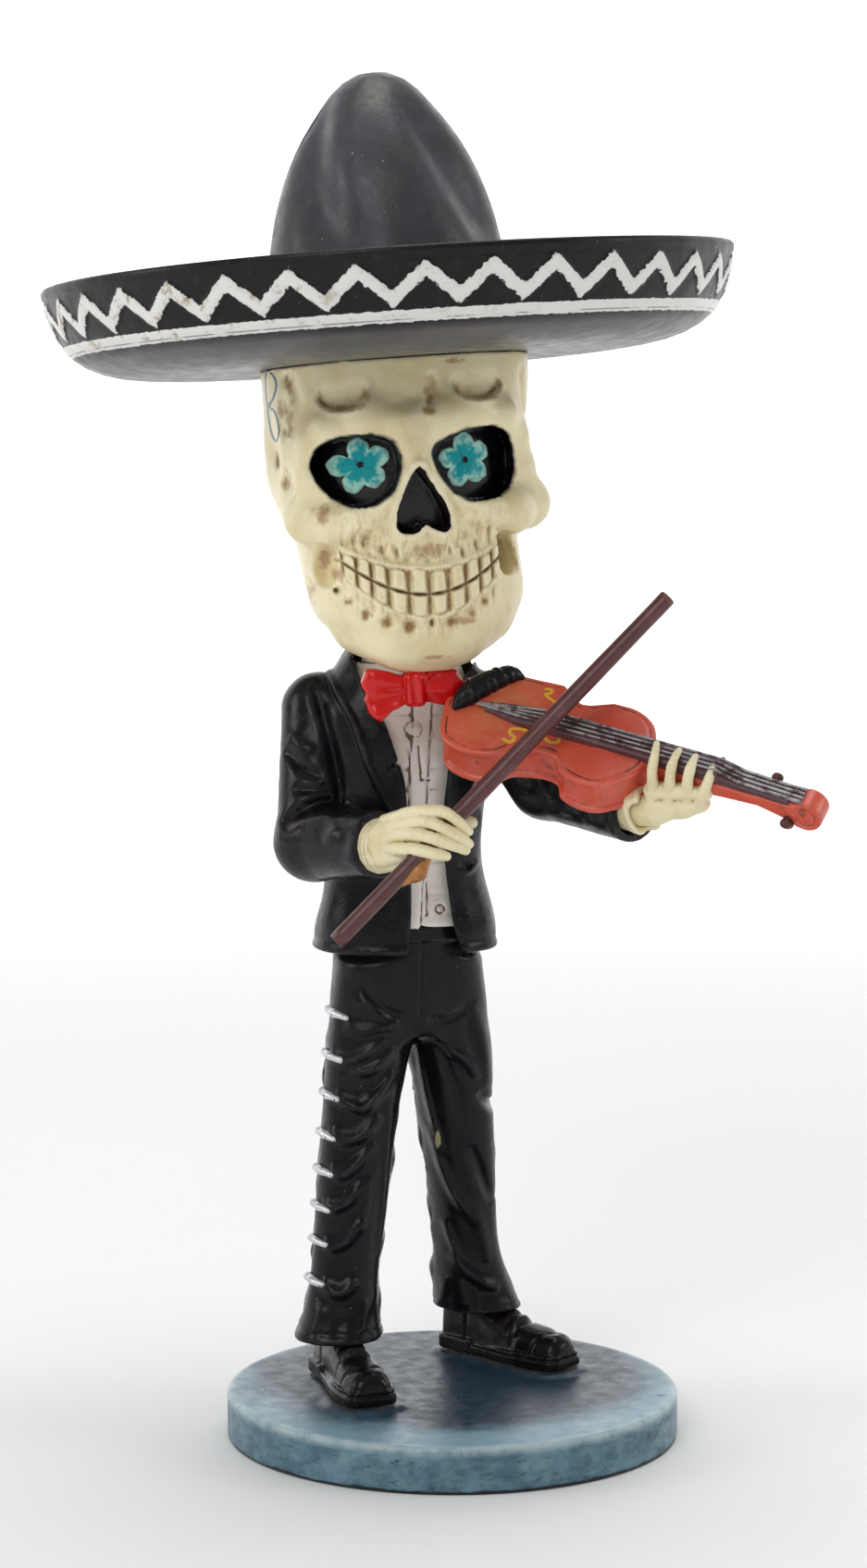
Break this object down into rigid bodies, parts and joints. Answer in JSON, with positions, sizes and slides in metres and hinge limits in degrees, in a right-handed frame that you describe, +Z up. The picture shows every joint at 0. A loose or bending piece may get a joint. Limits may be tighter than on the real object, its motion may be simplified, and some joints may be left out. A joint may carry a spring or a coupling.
{
  "type": "day of the dead skeleton figurine",
  "caption": "Painted cast-resin skeleton in a mariachi suit and sombrero, playing a violin, standing on a round base.",
  "frame": {"origin": "centre of the round base's underside, which stands on the surface", "axes": "+Z up, -Y out of the figure's chest, +X to the viewer's right when the figure is seen from its front"},
  "size_m": [0.0902, 0.0939, 0.1797],
  "materials": {
    "base_paint": "satin blue-grey paint on resin, pale at the rim",
    "suit_paint": "semi-gloss black paint on resin",
    "bone_paint": "satin ivory paint with a brown wash in the hollows",
    "hat_paint": "satin dark grey paint with a white zigzag band",
    "violin_paint": "satin orange-red paint",
    "bow_paint": "satin dark red-brown paint",
    "shirt_paint": "off-white paint with a brown wash",
    "tie_paint": "glossy red paint",
    "silver_paint": "brushed-on silver paint",
    "flower_paint": "turquoise paint, paler at the petals' rims"
  },
  "bodies": {
    "root": {"base": "base_paint", "figure": "suit_paint", "skull": "bone_paint", "sombrero": "hat_paint", "violin": "violin_paint", "bow": "bow_paint"}
  },
  "joints": []
}
